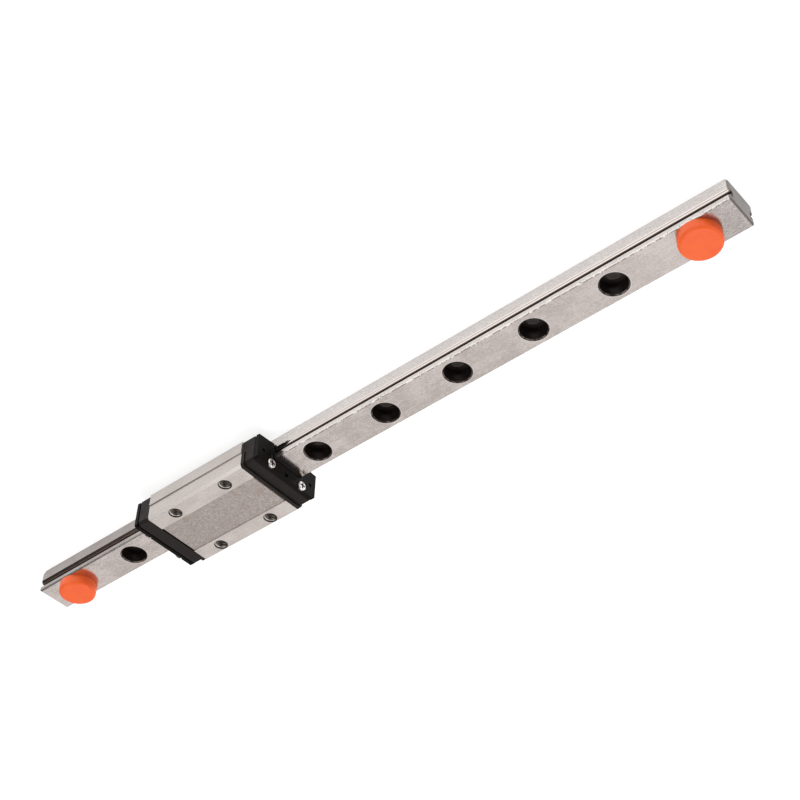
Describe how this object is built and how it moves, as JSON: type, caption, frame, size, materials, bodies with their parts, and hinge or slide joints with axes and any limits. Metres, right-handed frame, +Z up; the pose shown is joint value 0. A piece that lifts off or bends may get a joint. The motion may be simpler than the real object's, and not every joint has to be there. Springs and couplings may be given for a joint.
{
  "type": "miniature linear guide with carriage",
  "caption": "Miniature profile rail guide: a ground steel rail with counterbored screw holes, a long ball carriage with black end caps and an orange stop plug at each end.",
  "frame": {"origin": "under the middle of the rail, on the face that bolts to the machine bed", "axes": "+X along the rail, +Y across it, +Z up through the carriage's mounting face"},
  "size_m": [0.1994, 0.02, 0.01],
  "materials": {
    "rail_steel": "ground, fine lengthways grain, polished raceways",
    "block_steel": "ground lands, dull centre strip",
    "cap_plastic": "fine moulded texture",
    "guide_plastic": "smooth moulded",
    "seal_black": "satin black coated plate",
    "wiper_rubber": "matte nitrile rubber",
    "bottom_seal_rubber": "matte",
    "screw_metal": "bright nickel plated",
    "ball_steel": "polished",
    "wire_steel": "drawn bright wire",
    "plug_orange": "soft satin moulded rubber"
  },
  "bodies": {
    "rail": {"rail": "rail_steel"},
    "carriage": {"carriage_block": "block_steel", "end_cap_left": "cap_plastic", "seal_plate_left": "seal_black", "wiper_left": "wiper_rubber", "return_guide_left_front": "guide_plastic", "cap_screw_left_front": "screw_metal", "return_guide_left_rear": "guide_plastic", "cap_screw_left_rear": "screw_metal", "end_cap_right": "cap_plastic", "seal_plate_right": "seal_black", "wiper_right": "wiper_rubber", "return_guide_right_front": "guide_plastic", "cap_screw_right_front": "screw_metal", "return_guide_right_rear": "guide_plastic", "cap_screw_right_rear": "screw_metal", "ball_circuit_front": "ball_steel", "retainer_wire_front": "wire_steel", "bottom_seal_front": "bottom_seal_rubber", "ball_circuit_rear": "ball_steel", "retainer_wire_rear": "wire_steel", "bottom_seal_rear": "bottom_seal_rubber"},
    "plug_left": {"stop_plug_left": "plug_orange"},
    "plug_right": {"stop_plug_right": "plug_orange"}
  },
  "joints": [
    {"name": "carriage_slide", "type": "slide", "parent": "rail", "child": "carriage", "axis": [1, 0, 0], "range_m": [-0.0261, 0.1047]},
    {"name": "plug_left_pull", "type": "slide", "parent": "rail", "child": "plug_left", "axis": [0, 0, 1], "range_m": [0, 0.008]},
    {"name": "plug_right_pull", "type": "slide", "parent": "rail", "child": "plug_right", "axis": [0, 0, 1], "range_m": [0, 0.008]}
  ]
}
